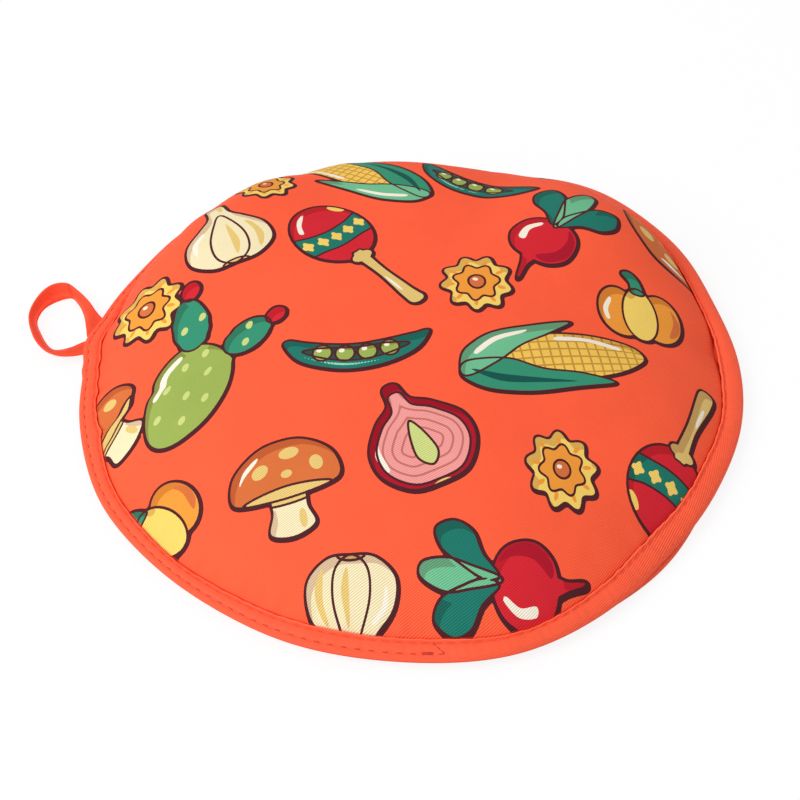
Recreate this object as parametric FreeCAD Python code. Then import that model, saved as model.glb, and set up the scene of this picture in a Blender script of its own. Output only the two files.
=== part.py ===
"""Round insulated fabric pouch that keeps tortillas warm, in millimetres, +Z up.

Two round quilted panels lie on each other. Each is a stack of outer cover, batting and
lining, pressed thin at its edge and wrapped there by a folded binding tape. A closing seam
joins the two bound edges round the back. In front, between the two ends of that seam, the
edges stay loose and form the mouth. The upper panel is puffed over the pocket, and its crown
is tipped a little, because the soft pouch has settled to one side. The lower panel lies flat.
A hanging loop of tape is caught in the seam opposite the mouth.

The origin is on the table under the middle of the pouch, and the mouth faces +X.
The upper panel flexes along the chord between the two seam ends, so each of its layers is
two nodes: the rear, which is sewn down, and the flap, which lifts.
"""

import FreeCAD
import Part
import os
from math import acos, asin, cos, pi, radians, sin, tan

# Driving dimensions
rim_diameter = 300.0  # over the bound edge, as the pouch lies
crown_height = 48.5  # top of the crown above the table, before it is tipped
cover_thickness = 0.6
lining_thickness = 0.5
batting_thickness = 5.0
batting_at_edge = 1.0  # where the binding presses it thin
shoulder_radius = 52.0  # the round between the crown and its steep side
shoulder_slope = 60.0  # degrees, of the steep side
crown_tilt = 5.0  # degrees, how far the crown is tipped
crown_high_side = 115.0  # degrees from the middle of the mouth, where the crown stands highest
foot_clearance = 4.5  # from the binding's inner edge to the foot of the steep side

tape_width = 10.0  # of the binding, on each face of the panel
tape_thickness = 0.6
upper_edge_tilt = 18.0  # degrees, the upper bound edge slopes down and out
lower_edge_ease = 12.0  # radius of both bends by which a lower layer steps to its edge

mouth_half_angle = 75.0  # degrees, from the middle of the mouth to a seam end
ply_gap = 0.3  # between the two bound edges, and between rear and flap
seat_gap = 0.1  # between a panel's edge and the tape that wraps it

loop_tape_width = 9.0
loop_tape_thickness = 0.9
loop_reach = 27.0  # how far the loop stands out from the rim
loop_root_spacing = 18.0  # between the middles of its two sewn ends
loop_bulge = 15.0  # how much it widens between root and tip
loop_tail_length = 9.0  # sewn between the bound edges
loop_clearance = 0.35  # between the turning root and the rim
loop_table_gap = 0.4  # under the standing tip
loop_sections = 17

PARTS_FOLDER = "parts"
AXIS = FreeCAD.Vector(0, 0, 1)
ORIGIN = FreeCAD.Vector(0, 0, 0)

# Derived sizes
rim_radius = rim_diameter / 2
edge_stack = cover_thickness + batting_at_edge + lining_thickness
bound_half = edge_stack / 2 + seat_gap + tape_thickness  # half a bound edge's thickness
lower_top = 2 * bound_half
upper_nose_z = lower_top + ply_gap + bound_half
edge_radius = rim_radius - bound_half  # of the panels, where the tape's nose begins
tape_leg = tape_width - bound_half  # the straight part of the tape, behind its nose
edge_run = tape_leg + tape_thickness  # of the lower bound edge, a little past the tape
foot_run = tape_leg + foot_clearance  # of the upper one, up to the crown's steep side
mouth_chord_x = rim_radius * cos(radians(mouth_half_angle))
loop_root_z = lower_top + ply_gap / 2
loop_hinge_x = -(rim_radius + loop_clearance + loop_tape_thickness / 2)


def at(radius, height):
    """A point of a half section: radius from the axis, height above the table."""
    return FreeCAD.Vector(radius, 0, height)


def line(start, end):
    return Part.LineSegment(start, end).toShape()


def arc(centre, radius, slope_from, slope_to, side=1):
    """An arc of a half section between two slopes in radians. side is 1 over its centre, -1 under."""

    def on_arc(slope):
        return centre + at(side * radius * sin(slope), side * radius * cos(slope))

    middle = (slope_from + slope_to) / 2
    return Part.Arc(on_arc(slope_from), on_arc(middle), on_arc(slope_to)).toShape()


def revolved(edges):
    """The solid that a closed half section sweeps round the axis."""
    face = Part.Face(Part.Wire(Part.__sortEdges__(edges)))
    return face.revolve(ORIGIN, AXIS, 360)


def tilted(tilt):
    """Unit vectors along a bound edge, inwards, and square to it, upwards."""
    return at(-cos(tilt), sin(tilt)), at(sin(tilt), cos(tilt))


# ---------------------------------------------------------------- upper panel
def crown_arcs():
    """The upright crown's outside: centre and radius of its top, shoulder centre and foot.

    The steep side stands on the bound edge, the shoulder runs out into it at the foot, and
    the top touches the shoulder and peaks on the axis.
    """
    inwards, upwards = tilted(radians(upper_edge_tilt))
    foot = at(edge_radius, upper_nose_z) + upwards * (edge_stack / 2) + inwards * foot_run
    steep_normal = tilted(radians(shoulder_slope))[1]
    shoulder_centre = foot - steep_normal * shoulder_radius
    drop = crown_height - shoulder_centre.z
    reach = shoulder_centre.x
    top_radius = (reach**2 + drop**2 - shoulder_radius**2) / (2 * (drop - shoulder_radius))
    return at(0, crown_height - top_radius), top_radius, shoulder_centre, foot


def above(height):
    """The room over a level, wide enough for the crown."""
    return Part.makeCylinder(rim_radius, 2 * crown_height, at(0, height))


def tipped(shape, foot):
    """An upright crown, tipped at its foot's height and slid until its foot is central again.

    Tipping lifts the foot on the high side and sinks it on the low side. On a steep side both
    move the line where it meets the bound edge towards the high side, and the slide undoes it.
    """
    across = radians(crown_high_side)
    tilt = radians(crown_tilt)
    slide = foot.x * sin(tilt) / tan(radians(shoulder_slope))
    level_line = FreeCAD.Vector(sin(across), -cos(across), 0)
    to_high_side = FreeCAD.Vector(cos(across), sin(across), 0)
    return shape.rotated(at(0, foot.z), level_line, crown_tilt).translated(to_high_side * -slide)


def under_crown(depth, bottom):
    """What lies under a surface of the crown, down to a level.

    depth is how far the surface lies under the outside. The arcs keep their centres, so every
    layer of the crown is even.
    """
    top_centre, top_radius, shoulder_centre, foot = crown_arcs()
    top = top_radius - depth
    shoulder = shoulder_radius - depth
    steep = radians(shoulder_slope)
    top_slope = asin(shoulder_centre.x / (top - shoulder))
    up_side, steep_normal = tilted(steep)
    side_top = shoulder_centre + steep_normal * shoulder
    side_end = side_top - up_side * ((side_top.z + crown_height) / sin(steep))
    apex = top_centre + at(0, top)
    base = at(0, side_end.z)
    crown = revolved([
        arc(top_centre, top, 0, top_slope),
        arc(shoulder_centre, shoulder, top_slope, steep),
        line(side_top, side_end),
        line(side_end, base),
        line(base, apex),
    ])
    return tipped(crown, foot).common(above(bottom))


def under_edge(depth, bottom, overrun):
    """The ring under a surface of the bound edge, down to a level.

    depth is how far the surface lies under the outside, and overrun how far the ring runs on
    past the panel's own end. Its inner wall stands inside the crown, under the shoulder.
    """
    inwards, upwards = tilted(radians(upper_edge_tilt))
    start = at(edge_radius, upper_nose_z) + upwards * (edge_stack / 2 - depth)
    inner_radius = (3 * crown_arcs()[2].x + start.x) / 4
    outer = start - inwards * overrun
    inner = start + inwards * ((start.x - inner_radius) / -inwards.x)
    outer_foot = outer - upwards * ((outer.z - bottom) / upwards.z)
    inner_foot = at(inner_radius, bottom)
    return revolved([
        line(inner, outer),
        line(outer, outer_foot),
        line(outer_foot, inner_foot),
        line(inner_foot, inner),
    ])


def upper_layer(top, top_edge, bottom, bottom_edge):
    """One layer of the upper panel: what lies under its top, less what lies under its bottom.

    Each surface is given by its depth in the crown and in the bound edge. What is taken away
    reaches past the rest, below and outside.
    """
    past = bound_half
    body = under_crown(top, 0).fuse(under_edge(top_edge, 0, 0))
    inside = under_crown(bottom, -past).fuse(under_edge(bottom_edge, -past, past))
    return body.cut(inside)


def upper_panel():
    """The cover, batting and lining of the domed panel, each a full round."""
    under_cover = cover_thickness
    under_batting = cover_thickness + batting_thickness
    under_batting_edge = cover_thickness + batting_at_edge
    return {
        "outer_cover": upper_layer(0, 0, under_cover, under_cover),
        "batting": upper_layer(under_cover, under_cover, under_batting, under_batting_edge),
        "lining": upper_layer(
            under_batting,
            under_batting_edge,
            under_batting + lining_thickness,
            under_batting_edge + lining_thickness,
        ),
    }


# ---------------------------------------------------------------- lower panel
def lower_surface(height, edge_height):
    """The half section of a surface in the lower panel: flat, then two equal bends to its edge."""
    step = edge_height - height
    bend = acos(1 - abs(step) / (2 * lower_edge_ease))
    ease_end = edge_radius - edge_run
    ease_start = ease_end - 2 * lower_edge_ease * sin(bend)
    rising = 1 if step > 0 else -1
    first = at(ease_start, height + rising * lower_edge_ease)
    second = at(ease_end, edge_height - rising * lower_edge_ease)
    return [
        line(at(0, height), at(ease_start, height)),
        arc(first, lower_edge_ease, 0, -bend * rising, side=-rising),
        arc(second, lower_edge_ease, -bend * rising, 0, side=rising),
        line(at(ease_end, edge_height), at(edge_radius, edge_height)),
    ], at(0, height), at(edge_radius, edge_height)


def lower_layer(top, top_edge, bottom, bottom_edge):
    """One layer of the lower panel, between two surfaces given by their heights."""
    upper_edges, upper_apex, upper_end = lower_surface(top, top_edge)
    lower_edges, lower_apex, lower_end = lower_surface(bottom, bottom_edge)
    closing = [line(upper_end, lower_end), line(lower_apex, upper_apex)]
    return revolved(upper_edges + lower_edges + closing)


def lower_panel():
    """The cover, batting and lining of the flat panel. Its cover lies on the table."""
    edge_bottom = tape_thickness + seat_gap
    cover_edge = edge_bottom + cover_thickness
    batting_top = cover_thickness + batting_thickness
    batting_edge = cover_edge + batting_at_edge
    return {
        "lower_outer_cover": lower_layer(cover_thickness, cover_edge, 0, edge_bottom),
        "lower_batting": lower_layer(batting_top, batting_edge, cover_thickness, cover_edge),
        "lower_lining": lower_layer(
            batting_top + lining_thickness, batting_edge + lining_thickness, batting_top, batting_edge
        ),
    }


# ---------------------------------------------------------------- binding tape
def binding(nose_z, tilt_degrees):
    """A tape folded over a panel's edge: a half round nose and a leg on each face."""
    tilt = radians(tilt_degrees)
    inwards, upwards = tilted(tilt)
    nose = at(edge_radius, nose_z)
    inner_half = bound_half - tape_thickness

    def half_round(radius):
        front = nose - inwards * radius
        return Part.Arc(nose + upwards * radius, front, nose - upwards * radius).toShape()

    def leg(offset):
        start = nose + upwards * offset
        return line(start, start + inwards * tape_leg)

    def leg_end(side):
        inner = nose + inwards * tape_leg + upwards * side * inner_half
        return line(inner, inner + upwards * side * tape_thickness)

    faces = [leg(side * half) for side in (1, -1) for half in (bound_half, inner_half)]
    ends = [leg_end(side) for side in (1, -1)]
    return revolved([half_round(bound_half), half_round(inner_half)] + faces + ends)


# ---------------------------------------------------------------- hanging loop
def tape_strip(root_y):
    """One sewn end of the loop, flat between the two bound edges."""
    outer_x = loop_hinge_x + loop_tape_thickness / 2 + ply_gap
    corner = FreeCAD.Vector(
        outer_x, root_y - loop_tape_width / 2, loop_root_z - loop_tape_thickness / 2
    )
    return Part.makeBox(loop_tail_length, loop_tape_width, loop_tape_thickness, corner)


def loop_tails():
    """Both sewn ends."""
    return [tape_strip(side * loop_root_spacing / 2) for side in (1, -1)]


def loop_middle(share):
    """The middle line of the loop, from one root (share 0) round the tip to the other (share 1).

    It leaves the rim squarely, widens to a bulb and rises until the tape can stand on edge.
    """
    out = sin(pi * share)
    tip_z = loop_tape_width / 2 + loop_table_gap
    x = loop_hinge_x - loop_reach * out
    y = loop_root_spacing / 2 * cos(pi * share) + loop_bulge * sin(2 * pi * share) * out
    return FreeCAD.Vector(x, y, loop_root_z + (tip_z - loop_root_z) * out**2)


def loop_section(share):
    """The tape's section there: it lies flat at the roots and stands on edge at the tip."""
    small = 1e-4
    ahead = loop_middle(share + small) - loop_middle(share - small)
    ahead.z = 0
    ahead.normalize()
    sideways = AXIS.cross(ahead)
    turn = pi / 2 * sin(pi * share) ** 2
    across = sideways * cos(turn) + AXIS * sin(turn)
    through = ahead.cross(across)
    middle = loop_middle(share)
    half_width = across * (loop_tape_width / 2)
    half_thick = through * (loop_tape_thickness / 2)
    corners = [
        middle + half_width + half_thick,
        middle - half_width + half_thick,
        middle - half_width - half_thick,
        middle + half_width - half_thick,
    ]
    return Part.makePolygon(corners + corners[:1])


def hanging_loop():
    """The free part of the loop, with a round root on its hinge line at each end."""
    shares = [i / (loop_sections - 1) for i in range(loop_sections)]
    ribbon = Part.makeLoft([loop_section(share) for share in shares], True, False)
    roots = [
        Part.makeCylinder(
            loop_tape_thickness / 2,
            loop_tape_width,
            FreeCAD.Vector(loop_hinge_x, side * loop_root_spacing / 2 - loop_tape_width / 2, loop_root_z),
            FreeCAD.Vector(0, 1, 0),
        )
        for side in (1, -1)
    ]
    return ribbon.fuse(roots)


# ---------------------------------------------------------------- assembly
def split_at_mouth(shape):
    """A full round of the upper panel, cut along the chord between the seam ends."""
    reach = 2 * rim_diameter
    half = ply_gap / 2
    behind = Part.makeBox(reach, reach, reach, FreeCAD.Vector(mouth_chord_x - half - reach, -reach / 2, 0))
    before = Part.makeBox(reach, reach, reach, FreeCAD.Vector(mouth_chord_x + half, -reach / 2, 0))
    return shape.common(behind), shape.common(before)


def make_parts():
    """Every node's shape, by name."""
    tails = loop_tails()
    nodes = lower_panel()
    nodes["lower_binding"] = binding(bound_half, 0).cut(tails)
    nodes["hanging_loop_tails"] = Part.makeCompound(tails)
    nodes["hanging_loop"] = hanging_loop()
    upper = upper_panel()
    upper["binding"] = binding(upper_nose_z, upper_edge_tilt).cut(tails)
    for name, shape in upper.items():
        rear, flap = split_at_mouth(shape)
        nodes["upper_" + name + "_rear"] = rear
        nodes["upper_" + name + "_flap"] = flap
    return nodes


os.makedirs(PARTS_FOLDER, exist_ok=True)
for node, shape in make_parts().items():
    shape.exportStep(os.path.join(PARTS_FOLDER, node + ".step"))
    print(node, len(shape.Solids), "solids", round(shape.Volume), "mm3", shape.isValid(), shape.BoundBox)
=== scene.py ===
import bpy
import numpy as np
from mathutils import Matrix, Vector


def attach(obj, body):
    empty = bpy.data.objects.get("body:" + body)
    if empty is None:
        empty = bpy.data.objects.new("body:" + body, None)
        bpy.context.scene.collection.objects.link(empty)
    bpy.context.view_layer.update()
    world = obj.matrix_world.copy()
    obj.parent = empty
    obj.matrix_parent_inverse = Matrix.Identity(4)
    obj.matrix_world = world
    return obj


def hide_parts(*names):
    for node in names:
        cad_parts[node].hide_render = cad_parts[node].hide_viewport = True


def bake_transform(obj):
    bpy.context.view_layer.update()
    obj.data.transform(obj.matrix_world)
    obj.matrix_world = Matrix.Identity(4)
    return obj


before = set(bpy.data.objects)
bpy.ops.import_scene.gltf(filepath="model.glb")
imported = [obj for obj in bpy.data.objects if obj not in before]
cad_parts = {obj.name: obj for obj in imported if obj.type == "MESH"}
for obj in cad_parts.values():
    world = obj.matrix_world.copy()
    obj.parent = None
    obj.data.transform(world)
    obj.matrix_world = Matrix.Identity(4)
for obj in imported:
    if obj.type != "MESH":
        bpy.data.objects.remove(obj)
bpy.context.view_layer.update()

# ---- The camera ----
# The warmer lies flat on a table and is seen from its closed side, from 49 degrees above
# and turned a little towards the mouth, from a metre away. Lengths below are in millimetres.
MM = 0.001
CAMERA_AT = Vector((108.24, -666.9, 769.71)) * MM
CAMERA_AIM = Vector((-1.17, -20.02, 15.0)) * MM
SENSOR_WIDTH = 36.0
FOCAL_LENGTH = 102.03


def placed(name, data):
    """A new object in the scene."""
    made = bpy.data.objects.new(name, data)
    bpy.context.scene.collection.objects.link(made)
    return made


def aimed(name, data, at, aim):
    """A camera or lamp at one place that looks at another, with its top upwards."""
    made = placed(name, data)
    made.location = at
    made.rotation_mode = "QUATERNION"
    made.rotation_quaternion = (aim - at).to_track_quat("-Z", "Y")
    return made


lens = bpy.data.cameras.new("camera")
lens.sensor_width, lens.lens = SENSOR_WIDTH, FOCAL_LENGTH
bpy.context.scene.camera = aimed("camera", lens, CAMERA_AT, CAMERA_AIM)
bpy.context.scene.view_settings.view_transform = "Standard"

# ---- The floor and the light ----
# A plain white table in a white room, lit by one wide soft lamp from the left. The floor and
# the room look white to the camera, and the floor still takes the warmer's soft shadow.


def maths(operation, reflected=False):
    """An operator on wires that adds that Math node."""
    def add_node(self, *others):
        values = (*others, self) if reflected else (self, *others)
        return self.finish.node("Math", values, operation=operation)
    return add_node


class Wire:
    """A value on its way through a finish's nodes. Arithmetic on it adds Math nodes."""

    def __init__(self, finish, socket):
        self.finish, self.socket = finish, socket

    __add__ = __radd__ = maths("ADD")
    __mul__ = __rmul__ = maths("MULTIPLY")
    __sub__, __rsub__ = maths("SUBTRACT"), maths("SUBTRACT", reflected=True)
    __lt__, __gt__ = maths("LESS_THAN"), maths("GREATER_THAN")
    __and__, __or__, __abs__ = maths("MINIMUM"), maths("MAXIMUM"), maths("ABSOLUTE")
    sine, fraction = maths("SINE"), maths("FRACT")


class Finish:
    """A new material or world, and one way to add any node to it."""

    def __init__(self, name, owners=bpy.data.materials):
        self.owner = owners.new(name)
        self.owner.use_nodes = True
        self.tree = self.owner.node_tree
        self.tree.nodes.clear()

    def node(self, kind, inputs=(), output=0, **settings):
        """A node of that type with its settings, and values or wires in its sockets."""
        made = self.tree.nodes.new("ShaderNode" + kind)
        for name, value in settings.items():
            setattr(made, name, value)
        for key, value in inputs.items() if isinstance(inputs, dict) else enumerate(inputs):
            if isinstance(value, Wire):
                self.tree.links.new(value.socket, made.inputs[key])
            else:
                made.inputs[key].default_value = value
        return Wire(self, made.outputs[output]) if made.outputs else made

    def mix(self, factor, first, second, blend="MIX"):
        """The first colour where the factor is 0 and the second where it is 1."""
        return self.node("Mix", {0: factor, 6: first, 7: second}, output=2,
                         data_type="RGBA", blend_type=blend)

    def shaded(self, colour, amount):
        """A colour made lighter or darker by an amount that varies about 1."""
        return self.mix(1.0, colour, self.node("CombineXYZ", [amount] * 3), "MULTIPLY")

    def noise(self, place, scale, detail, roughness):
        """Soft random mottling over a vector of places."""
        return self.node("TexNoise", {"Vector": place, "Scale": scale, "Detail": detail,
                                      "Roughness": roughness})

    def split(self, vector, parts=3):
        """A vector's three parts, or its first two."""
        return [self.node("SeparateXYZ", [vector], output=part) for part in range(parts)]

    def surface(self, colour, roughness, specular, relief, sheen=0.0):
        """The finished surface. Its relief is a bump's strength, distance and height."""
        bump = self.node("Bump", dict(zip(("Strength", "Distance", "Height"), relief)))
        shader = self.node("BsdfPrincipled", {
            "Base Color": colour, "Roughness": roughness, "Normal": bump,
            "Specular IOR Level": specular, "Sheen Weight": sheen})
        self.node("OutputMaterial", {"Surface": shader})
        return self


def ink(colour):
    """A screen colour as the linear light that shaders work in, with full alpha."""
    light = [((c + 0.055) / 1.055) ** 2.4 if c > 0.04 else c / 12.92 for c in colour]
    return (*light, 1.0)


def seen_directly(finish):
    """1 for rays that carry the plain background: to the camera, by mirror or through glass."""
    rays = [finish.node("LightPath", output="Is " + kind + " Ray")
            for kind in ("Camera", "Glossy", "Transmission")]
    return rays[0] | rays[1] | rays[2]


WHITE = (1.0, 1.0, 1.0, 1.0)
TABLE_GREY = (0.94, 0.94, 0.94, 1.0)
ROOM_LIGHT = 0.67
FLOOR_SHADOW = 0.13
room = Finish("white_room", bpy.data.worlds)
bpy.context.scene.world = room.owner
background = room.node("Background", {
    "Color": WHITE, "Strength": seen_directly(room) * (1.0 - ROOM_LIGHT) + ROOM_LIGHT})
room.node("OutputWorld", {"Surface": background})

table = Finish("white_table")
matt = table.node("BsdfDiffuse", {"Color": TABLE_GREY})
glow = table.node("Emission", {"Color": WHITE, "Strength": 1.0})
shown = table.node("MixShader", {
    0: seen_directly(table) * (1.0 - FLOOR_SHADOW), 1: matt, 2: glow})
table.node("OutputMaterial", {"Surface": shown})

FLOOR_REACH = 6.0
FLOOR_AT = -0.0002
floor_mesh = bpy.data.meshes.new("floor")
floor_mesh.from_pydata([(x * FLOOR_REACH, y * FLOOR_REACH, FLOOR_AT)
                        for x, y in ((-1, -1), (1, -1), (1, 1), (-1, 1))], [], [(0, 1, 2, 3)])
floor_mesh.materials.append(table.owner)
floor = placed("floor", floor_mesh)

LAMP_AT = Vector((-1.25, -0.85, 1.6))
LAMP_WIDTH = 1.5
LAMP_WATTS = 31.6
soft_box = bpy.data.lights.new("soft_lamp", "AREA")
soft_box.shape, soft_box.size, soft_box.energy = "DISK", LAMP_WIDTH, LAMP_WATTS
aimed("soft_lamp", soft_box, LAMP_AT, Vector((0.0, 0.0, 0.0)))

# ---- The bound rim and the crown ----
# The pouch is a 12 inch round of padded cloth that years of folding have left a little out
# of true. Its far side is drawn in under a puffed crown, and its mouth gapes a little.
RIM = 150.0
RIM_OUT = (-1.0, -0.6, -1.2, -1.4, 0.7, 1.1, 1.2, -2.4, -7.7, -11.1, -11.1, -8.8,
           -6.9, -6.6, -7.1, -6.3, -6.3, -4.2, -3.2, -2.5, -1.4, -0.4, 0.2, -0.6,
           -0.8, -0.3, 0.9, 1.3, 2.1, 3.7, 3.7, 1.6, -0.2, -2.2, -3.2, -2.6)
RIM_UP = (0.0, 0.8, 2.5, 2.0, 0.5, 0.0, 0.0, 0.0, 0.0, 0.0, 0.0, 0.0, 0.0, 0.0, 0.0, 0.0)
UPPER_NOSE = 5.3
TAPE_FACE = 9.4
FACE_NARROWS = (0.0, -0.6, 0.5, 1.2, 1.2, 0.0, 0.0, 0.0, 0.0, 0.0, 0.0, 0.0,
                0.0, 0.0, 0.0, 0.8, 2.6, 2.9, 0.7, 1.5, 1.1, 1.4, 2.0, 2.4,
                2.2, 1.3, 0.7, 0.4, 0.3, 0.8, 1.4, 0.3, -0.9, -1.1, -0.4, -0.5)
LIP_RISE = 3.2
CROWN_TOP = 49.0
CROWN_SHIFT = (-1.1, 2.8)
ROUNDNESS = (0.8, 0.73, 0.12, 0.39, 0.32, 0.29, 0.06, -0.06, 0.43, 0.75, 0.8, 0.8, 0.8, 0.8,
             0.8, 0.8)
MOUTH_HALF_ANGLE = np.radians(75.0)
MOUTH_STEP = 0.12


def around(values, angle):
    """A closed wave through values that stand evenly round the rim, from the mouth on.

    It is the values' Fourier sum, so it is smooth and meets itself.
    """
    waves = np.fft.rfft(values) / len(values)
    turns = np.arange(len(waves))
    share = np.where((turns == 0) | (2 * turns == len(values)), 1, 2)
    return ((waves * share) * np.exp(1j * turns * np.asarray(angle)[..., None])).real.sum(-1)


def eased(step):
    """A smooth step from 0 to 1, 3 x^2 - 2 x^3, level at both ends and held beyond them."""
    step = np.clip(step, 0, 1)
    return step * step * (3 - 2 * step)


def ridge(value, top, spread):
    """A smooth rise to 1 about one value: the bell curve exp(-x^2)."""
    return np.exp(-((value - top) / spread) ** 2)


def bumps(angle, places):
    """The sum of ridges round the rim, each with its middle and spread in degrees, and height."""
    return sum(height * ridge((np.degrees(angle) - middle + 180) % 360 - 180, 0.0, spread)
               for middle, spread, height in places)


# where the rim stands out, in degrees round it, how widely, and how far: the loop's ends push it
RIM_BUMPS = ((181.0, 4.6, 3.4), (187.3, 1.3, 0.7), (75.5, 4.0, -0.9))
# the upper tape alone draws back at the near end of the mouth, and is tucked twice by the loop
DRAWN_BACK = ((325.0, 12.0, 1.8),)
TUCKS = ((193.3, 1.1, 1.0), (203.0, 1.2, 1.3))


def outline_radius(angle):
    """How far the rim stands out where nothing holds it back."""
    return RIM + around(RIM_OUT, angle) + bumps(angle, RIM_BUMPS)


def rim_radius(angle):
    """The upper binding's outer edge."""
    return outline_radius(angle) - bumps(angle, DRAWN_BACK)


def narrowed(angle, inward):
    """A distance in from the upper tape's fold, less where the cover swells over its lip."""
    swell = around(FACE_NARROWS, angle) - bumps(angle, TUCKS)
    return inward - swell * (inward / TAPE_FACE) ** 2


def nose_height(angle):
    """How high the upper binding's folded edge lies."""
    return UPPER_NOSE + around(RIM_UP, angle)


def gathers(angle, counts, start):
    """Puckers round the rim: the mean of cosines with those whole numbers of waves."""
    return sum(np.cos(n * angle + start * n * n) for n in counts) / len(counts)


def free_mouth(angle):
    """1 along the open mouth and 0 along the sewn rim, with a smooth step between."""
    turned = np.abs((np.asarray(angle) + np.pi) % (2 * np.pi) - np.pi)
    return eased((MOUTH_HALF_ANGLE + MOUTH_STEP / 2 - turned) / MOUTH_STEP)


# where a soft dent is pressed in the crown, its depth, and its spread in millimetres
DENTS = ((132.0, 38.0, 2.6, 11.0), (100.0, 69.0, 2.6, 17.0), (79.0, 41.0, 1.0, 26.0),
         (-40.0, -70.0, 0.5, 34.0), (-103.0, 64.0, 2.2, 10.0), (-118.0, 46.0, 1.4, 9.0),
         (-84.0, 82.0, -1.2, 8.0), (-67.0, 98.0, 2.0, 7.0), (-50.0, 108.0, -1.0, 7.0),
         (-10.0, 113.0, -0.5, 12.0))
# how far the cover dives at the lip and how high its gathers stand there, in millimetres, and
# how steeply it runs down under the lip
LIP_TUCK = 0.5
PUCKER = 0.85
UNDER_LIP_SLOPE = 90.0


def crown(share, angle):
    """The upper cover's place at a share of the way from its middle out to the binding.

    The height is the lip plus the crown times a mix of a round dome, 1 - share^2, and a puffed
    edge, 1 - share^10, less the dents and with gathers fading away from the binding.
    """
    inner = np.minimum(share, 1.0)
    reach = rim_radius(angle) - narrowed(angle, TAPE_FACE)
    lip = nose_height(angle) + LIP_RISE
    mix = around(ROUNDNESS, angle)
    rise = mix * (1 - inner ** 2) + (1 - mix) * (1 - inner ** 10)
    x = share * reach * np.cos(angle) + (1 - inner ** 2) * CROWN_SHIFT[0]
    y = share * reach * np.sin(angle) + (1 - inner ** 2) * CROWN_SHIFT[1]
    z = lip + (CROWN_TOP - lip) * rise - UNDER_LIP_SLOPE * (share - inner)
    for dent_x, dent_y, depth, spread in DENTS:
        z = z - depth * ridge(np.hypot(x - dent_x, y - dent_y), 0.0, spread)
    z = z - LIP_TUCK * ridge(inner, 1.0, 0.008)
    near_lip = ridge(inner, 1.0, 0.045) * np.clip((1.0 - inner) / 0.012, 0, 1)
    held = 1 - 0.6 * free_mouth(angle)
    z = z + PUCKER * held * near_lip * gathers(angle, (37, 61, 83, 113), 1.7)
    return np.stack([x, y, z], -1)


def round_cloth(cells, reach=1.0):
    """(share of the radius up to reach, angle) over a square grid pressed into a disc.

    Square rings become round ones, by Shirley and Chiu's map, so no cell is a sliver.
    """
    steps = np.linspace(-1, 1, cells + 1)
    u, v = np.meshgrid(steps, steps, indexing="ij")
    wide = np.abs(u) >= np.abs(v)
    out, over = np.where(wide, u, v), np.where(wide, v, u)
    turn = np.pi / 4 * over / np.where(out == 0, 1, out)
    angle = np.where(wide, turn, np.pi / 2 - turn) + np.where(out < 0, np.pi, 0)
    return np.abs(out) * reach, angle


def grid_faces(rows, columns, joined=(False, False)):
    """Corners of the quads of a grid, and each corner's row and column before any join."""
    i, j = np.meshgrid(np.arange(rows if joined[0] else rows - 1),
                       np.arange(columns if joined[1] else columns - 1), indexing="ij")
    row = np.stack([i, i + 1, i + 1, i], -1).reshape(-1, 4)
    column = np.stack([j, j, j + 1, j + 1], -1).reshape(-1, 4)
    return (row % rows) * columns + column % columns, row, column


def meshed(name, points, faces, finish):
    """A smooth-shaded piece from points in millimetres and lists of corners."""
    mesh = bpy.data.meshes.new(name)
    mesh.from_pydata((points.reshape(-1, 3) * MM).tolist(), [], faces)
    mesh.polygons.foreach_set("use_smooth", np.ones(len(faces), bool))
    mesh.materials.append(finish.owner)
    return placed(name, mesh)


def sewn_piece(name, grid, finish, joined=(False, False), lengths=None, inside_out=False):
    """A piece whose points are a grid in millimetres, with one finish.

    lengths, where given, are the cloth's own lengths along rows and columns, kept as a UV map.
    """
    rows, columns = grid.shape[:2]
    faces, row, column = grid_faces(rows, columns, joined)
    if inside_out:
        faces, row, column = faces[:, ::-1], row[:, ::-1], column[:, ::-1]
    piece = meshed(name, grid, faces.tolist(), finish)
    if lengths is not None:
        cut = np.stack([lengths[0][row], lengths[1][column]], -1)
        piece.data.uv_layers.new(name="cloth").data.foreach_set("uv", (cut * MM).ravel())
    return piece


def keep(piece, name, values):
    """Stores one value, three numbers or a colour at each of a piece's points."""
    kinds = {1: ("FLOAT", "value"), 3: ("FLOAT_VECTOR", "vector"), 4: ("FLOAT_COLOR", "color")}
    kind, field = kinds[1 if values.ndim == 1 else values.shape[1]]
    data = piece.data.attributes.new(name, kind, "POINT").data
    data.foreach_set(field, values.astype(np.float32).ravel())


def bends_at_mouth(piece):
    """Bakes the piece's placement into its points, without bending it at the mouth."""
    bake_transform(piece)


# ---- The printed upper cover ----
# A round of polyester twill, puffed up by the padding under it and caught all round under the
# lip of its binding. Its print is kitchen-garden motifs in flat inks with a dark key line, each
# drawn in millimetres about its own middle as closed smooth outlines.
KEY_BROWN = (0.30, 0.13, 0.15)
INKS = {
    "corn": (0.98, 0.80, 0.36), "husk": (0.22, 0.58, 0.45), "husk_light": (0.45, 0.76, 0.58),
    "cream": (0.96, 0.90, 0.73), "tan": (0.91, 0.78, 0.47), "clay": (0.86, 0.45, 0.24),
    "red": (0.86, 0.16, 0.21), "deep_red": (0.70, 0.10, 0.18), "pink": (0.96, 0.62, 0.60),
    "teal": (0.13, 0.48, 0.42), "dark_teal": (0.10, 0.34, 0.31), "leaf": (0.62, 0.70, 0.34),
    "lime": (0.81, 0.85, 0.52), "yellow": (0.99, 0.84, 0.42), "squash": (0.97, 0.62, 0.24),
    "pale": (0.99, 0.95, 0.87), "mint": (0.62, 0.86, 0.74),
}
OUTLINE_STEPS = 8
BOW = 0.006


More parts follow.
